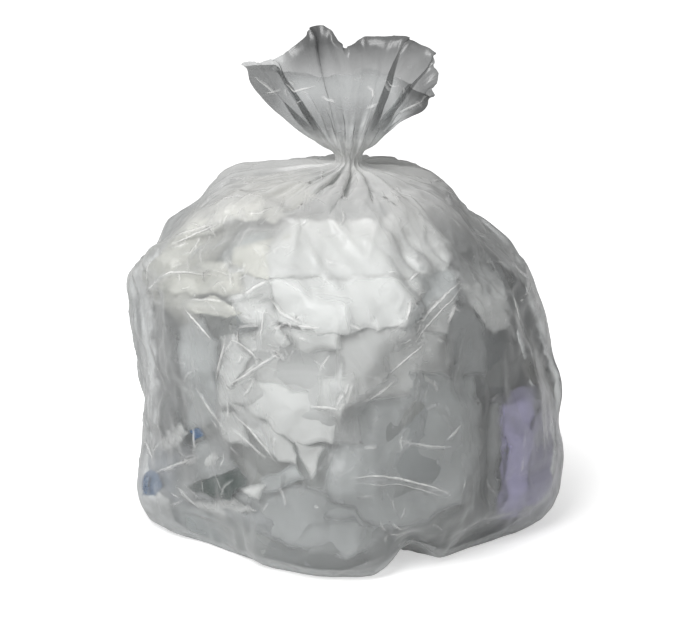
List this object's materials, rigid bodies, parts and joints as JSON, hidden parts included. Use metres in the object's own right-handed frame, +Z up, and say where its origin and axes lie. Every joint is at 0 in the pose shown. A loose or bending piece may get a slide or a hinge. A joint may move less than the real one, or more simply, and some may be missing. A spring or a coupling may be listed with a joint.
{
  "type": "bin liner",
  "caption": "Full bin liner of thin translucent film, gathered and tied at the neck with a ruffled open mouth above, resting on its flattened base with paper and packaging inside.",
  "frame": {"origin": "on the ground, under the middle of the outline's box", "axes": "+Z up through the tied neck, -Y towards the front that the picture shows"},
  "size_m": [0.4786, 0.46, 0.5477],
  "materials": {
    "film": "thin translucent polyethylene film, soft gloss",
    "waste": "mixed grey packaging",
    "paper": "plain white paper",
    "cream": "plain off-white wrapping paper",
    "lilac": "plain lilac plastic pouch",
    "blue": "plain blue plastic wrapper",
    "green": "plain dark green packet"
  },
  "bodies": {
    "root": {"liner": "film", "mixed_waste": "waste", "folded_sheet": "paper", "crumpled_paper": "paper", "cream_wrapping": "cream", "lilac_pouch": "lilac", "blue_wrapper": "blue", "green_packet": "green", "tissue": "paper"}
  },
  "joints": []
}
